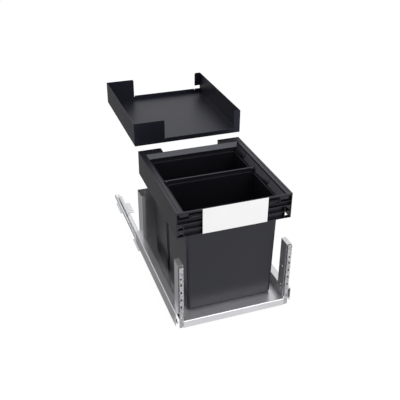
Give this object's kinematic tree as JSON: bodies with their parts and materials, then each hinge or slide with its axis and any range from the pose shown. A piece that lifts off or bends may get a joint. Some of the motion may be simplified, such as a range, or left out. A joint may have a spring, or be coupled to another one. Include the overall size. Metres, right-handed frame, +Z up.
{
  "type": "pull out trash cabinet",
  "caption": "Pull-out waste unit for a kitchen base cabinet: two bins in a frame on a steel pan with ball runners, drawn out below a fixed shelf tray.",
  "frame": {"origin": "centre of the bounding box in X and Y with the unit drawn out, on the cabinet floor in Z", "axes": "+X to the right seen from the front, +Y into the cabinet, +Z up"},
  "size_m": [0.367, 0.8228, 0.475],
  "materials": {
    "black_powder_coat": "fine-textured black powder coat",
    "zinc_plate": "zinc-plated sheet steel",
    "bright_zinc": "bright zinc plate",
    "cage_steel": "plain rolled strip",
    "ball_steel": "polished steel balls",
    "silver_grey_paint": "silver-grey semi-gloss paint",
    "anthracite_plastic": "anthracite plastic with a fine grain",
    "anthracite_bin": "anthracite plastic, satin",
    "white_plastic": "plain white, smooth"
  },
  "bodies": {
    "cabinet_side": {"shelf_tray": "black_powder_coat", "cabinet_rail_left": "zinc_plate", "cabinet_rail_right": "zinc_plate", "fixing_plate_left": "zinc_plate", "fixing_plate_right": "zinc_plate"},
    "lower_cages": {"lower_cage_left": "cage_steel", "lower_cage_right": "cage_steel", "lower_balls_left": "ball_steel", "lower_balls_right": "ball_steel"},
    "middle_members": {"middle_rail_left": "bright_zinc", "middle_rail_right": "bright_zinc"},
    "upper_cages": {"upper_cage_left": "cage_steel", "upper_cage_right": "cage_steel", "upper_balls_left": "ball_steel", "upper_balls_right": "ball_steel"},
    "pull_out": {"drawer_rail_left": "zinc_plate", "drawer_rail_right": "zinc_plate", "base_pan": "silver_grey_paint", "back_panel": "silver_grey_paint", "front_post_left": "silver_grey_paint", "front_post_right": "silver_grey_paint", "rear_post_left": "silver_grey_paint", "rear_post_right": "silver_grey_paint", "front_bracket_left": "zinc_plate", "front_bracket_right": "zinc_plate", "height_adjuster_left": "zinc_plate", "height_adjuster_right": "zinc_plate", "post_screws_left": "bright_zinc", "post_screws_right": "bright_zinc", "bin_frame": "anthracite_plastic", "divider_bar": "anthracite_plastic", "front_plate": "white_plastic"},
    "front_bin": {"front_bin": "anthracite_bin"},
    "rear_bin": {"rear_bin": "anthracite_bin"}
  },
  "joints": [
    {"name": "pull_out_slide", "type": "slide", "parent": "cabinet_side", "child": "pull_out", "axis": [0, -1, 0], "range_m": [-0.4, 0]},
    {"name": "middle_member_slide", "type": "slide", "parent": "cabinet_side", "child": "middle_members", "axis": [0, -1, 0], "range_m": [-0.2, 0]},
    {"name": "lower_cage_slide", "type": "slide", "parent": "cabinet_side", "child": "lower_cages", "axis": [0, -1, 0], "range_m": [-0.1, 0]},
    {"name": "upper_cage_slide", "type": "slide", "parent": "cabinet_side", "child": "upper_cages", "axis": [0, -1, 0], "range_m": [-0.3, 0]},
    {"name": "front_bin_lift", "type": "slide", "parent": "pull_out", "child": "front_bin", "axis": [0, 0, 1], "range_m": [0, 0.46]},
    {"name": "rear_bin_lift", "type": "slide", "parent": "pull_out", "child": "rear_bin", "axis": [0, 0, 1], "range_m": [0, 0.46]}
  ],
  "couplings": [
    {"joint": "middle_member_slide", "follows": "pull_out_slide", "ratio": 0.5},
    {"joint": "lower_cage_slide", "follows": "pull_out_slide", "ratio": 0.25},
    {"joint": "upper_cage_slide", "follows": "pull_out_slide", "ratio": 0.75}
  ]
}
